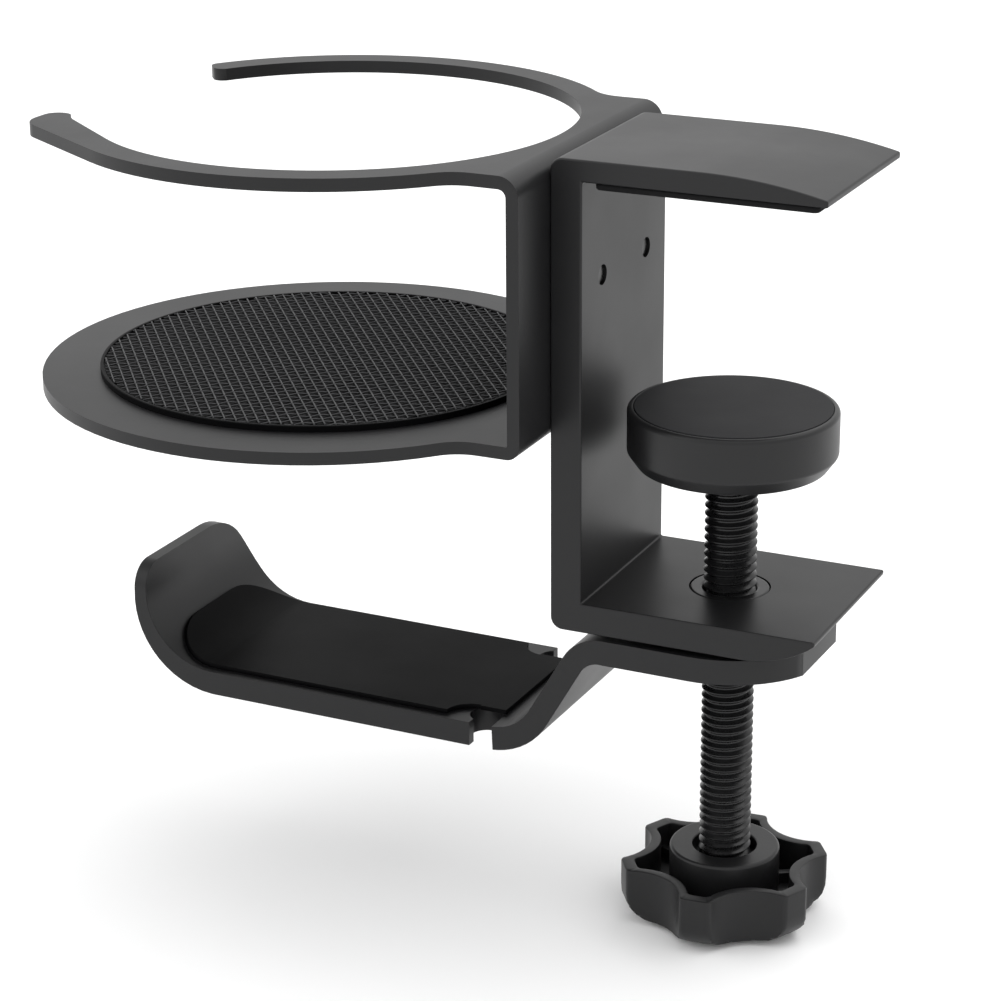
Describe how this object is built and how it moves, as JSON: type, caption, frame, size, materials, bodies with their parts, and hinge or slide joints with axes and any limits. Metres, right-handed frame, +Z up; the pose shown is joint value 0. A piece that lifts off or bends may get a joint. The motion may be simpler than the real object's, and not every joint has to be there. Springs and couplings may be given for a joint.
{
  "type": "desk clamp cup holder",
  "caption": "Desk clamp with an open cup ring over a round tray, a screw with a swivel pressure pad and star knob, and a headphone hook that swings below.",
  "frame": {"origin": "face of the upper jaw's pad that rests on the desk top, on the clamping screw's axis", "axes": "+Z up along the screw, +X from the clamp's web towards the tips of its jaws, so the cup ring and tray are on -X"},
  "size_m": [0.1275, 0.086, 0.1182],
  "materials": {
    "frame_aluminium": "satin black anodised extrusion",
    "bracket_steel": "fine black powder coat on sheet",
    "hook_aluminium": "satin black anodised flat bar",
    "screw_steel": "black oxide",
    "foam_rubber": "matt foam",
    "silicone": "soft matt silicone",
    "mesh_nylon": "open woven net",
    "knob_plastic": "moulded, low sheen",
    "pad_plastic": "moulded, low sheen",
    "bush_steel": "turned and blackened"
  },
  "bodies": {
    "clamp": {"clamp_frame": "frame_aluminium", "upper_jaw_pad": "foam_rubber", "cup_bracket": "bracket_steel", "bracket_screw_near": "screw_steel", "bracket_screw_away": "screw_steel", "cup_mat_base": "silicone", "cup_mat_mesh": "mesh_nylon", "threaded_bush": "bush_steel", "swivel_washer": "bush_steel", "hook_retaining_ring": "bush_steel"},
    "hook": {"headphone_hook": "hook_aluminium", "hook_pad": "silicone"},
    "pivot": {"pivot_ball": "bush_steel"},
    "screw": {"clamp_screw": "screw_steel", "star_knob": "knob_plastic", "knob_nut": "bush_steel", "knob_cover": "knob_plastic"},
    "pressure_plate": {"pressure_pad": "pad_plastic", "socket_cap": "pad_plastic", "pressure_pad_face": "silicone"}
  },
  "joints": [
    {"name": "screw_travel", "type": "slide", "parent": "clamp", "child": "pivot", "axis": [0, 0, 1], "range_m": [-0.018, 0.031]},
    {"name": "screw_turn", "type": "hinge", "parent": "pivot", "child": "screw", "pos_m": [0, 0, -0.0614], "axis": [0, 0, 1], "range_deg": [-5200, 8950]},
    {"name": "pad_tilt", "type": "hinge", "parent": "pivot", "child": "pressure_plate", "pos_m": [0, 0, -0.0394], "axis": [0, 1, 0], "range_deg": [-3, 3]},
    {"name": "hook_swivel", "type": "hinge", "parent": "clamp", "child": "hook", "pos_m": [0, 0, -0.0685], "axis": [0, 0, 1], "continuous": true}
  ],
  "couplings": [
    {"joint": "screw_turn", "follows": "screw_travel", "rad_per_m": 5026.5}
  ]
}
